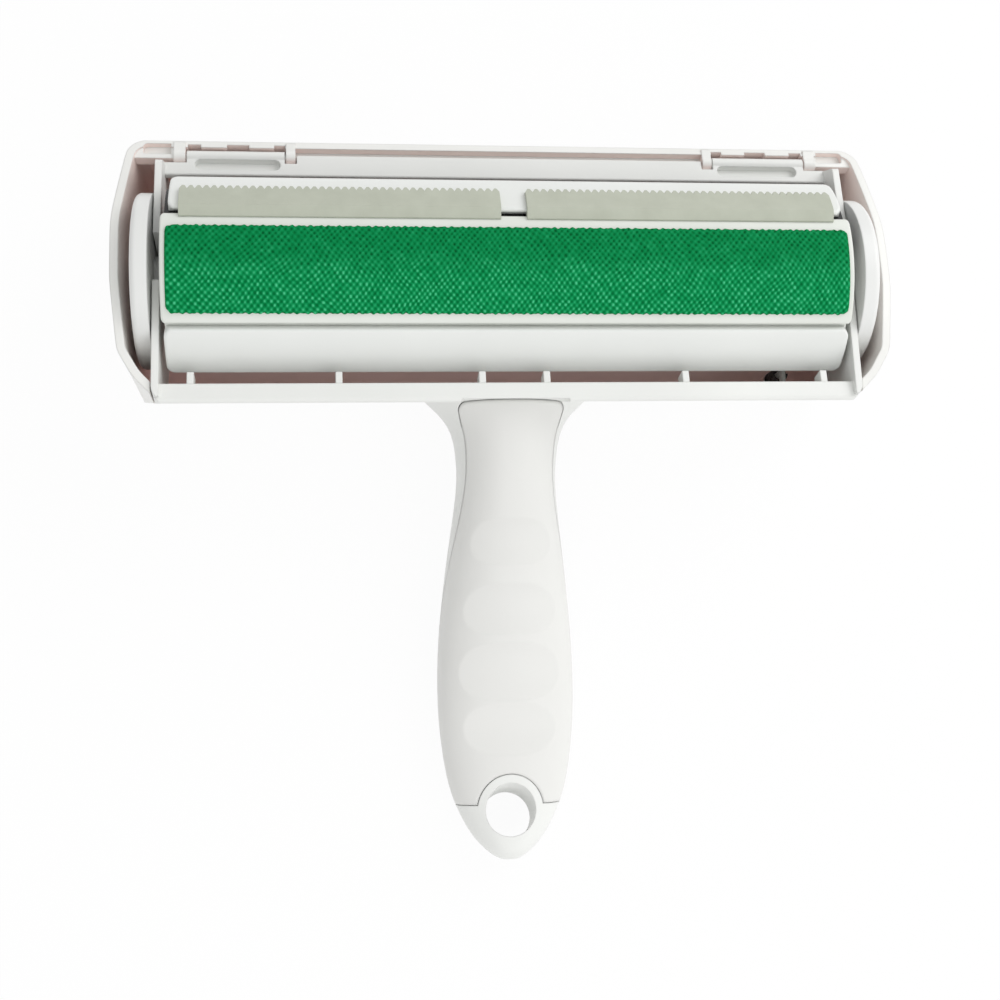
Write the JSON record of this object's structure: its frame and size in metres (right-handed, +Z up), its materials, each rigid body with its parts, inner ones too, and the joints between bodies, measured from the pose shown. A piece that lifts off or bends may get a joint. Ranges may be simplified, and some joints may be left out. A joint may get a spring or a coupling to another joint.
{
  "type": "pet_hair_removal_brush",
  "caption": "Reusable pet hair remover: white head with a rocking drum, green pile strip, two rubber combs and a hinged dust bin, on a curved handle with a hanging hole",
  "frame": {"origin": "On the table, straight below the middle of the drum's axis", "axes": "+X along the drum to the right as seen from above with the handle nearest, +Y from the handle towards the hinge of the dust bin, +Z up from the table"},
  "size_m": [0.2012, 0.1895, 0.0582],
  "materials": {
    "white_plastic": "smooth satin white ABS",
    "panel_plastic": "smooth satin white with a faint green cast",
    "green_pile": "short directional green pile with a glossy weave",
    "grey_rubber": "soft matte grey-green rubber",
    "spring_steel": "dark spring steel wire",
    "screw_steel": "zinc-plated steel"
  },
  "bodies": {
    "body": {"main_body": "white_plastic", "handle_cover": "white_plastic"},
    "lid": {"rear_lid": "white_plastic", "lid_spring": "spring_steel"},
    "button": {"release_button": "white_plastic", "button_spring": "spring_steel"},
    "drum": {"drum_core": "white_plastic", "fabric_panel": "panel_plastic", "fabric_strip": "green_pile", "upper_bar": "white_plastic", "lower_bar": "white_plastic", "comb_right": "grey_rubber", "comb_left": "grey_rubber", "end_disc_right": "white_plastic", "end_disc_left": "white_plastic", "disc_screw_right": "screw_steel", "disc_screw_left": "screw_steel"}
  },
  "joints": [
    {"name": "drum_rock", "type": "hinge", "parent": "body", "child": "drum", "pos_m": [0, 0, 0.034], "axis": [-1, 0, 0], "range_deg": [0, 36]},
    {"name": "lid_hinge", "type": "hinge", "parent": "body", "child": "lid", "pos_m": [0, 0.03362, 0.03291], "axis": [1, 0, 0], "range_deg": [0, 80], "deforming": ["lid_spring"]},
    {"name": "button_press", "type": "slide", "parent": "body", "child": "button", "axis": [0, 0, 1], "range_m": [0, 0.002], "stiffness_N_per_m": 300, "deforming": ["button_spring"]}
  ]
}
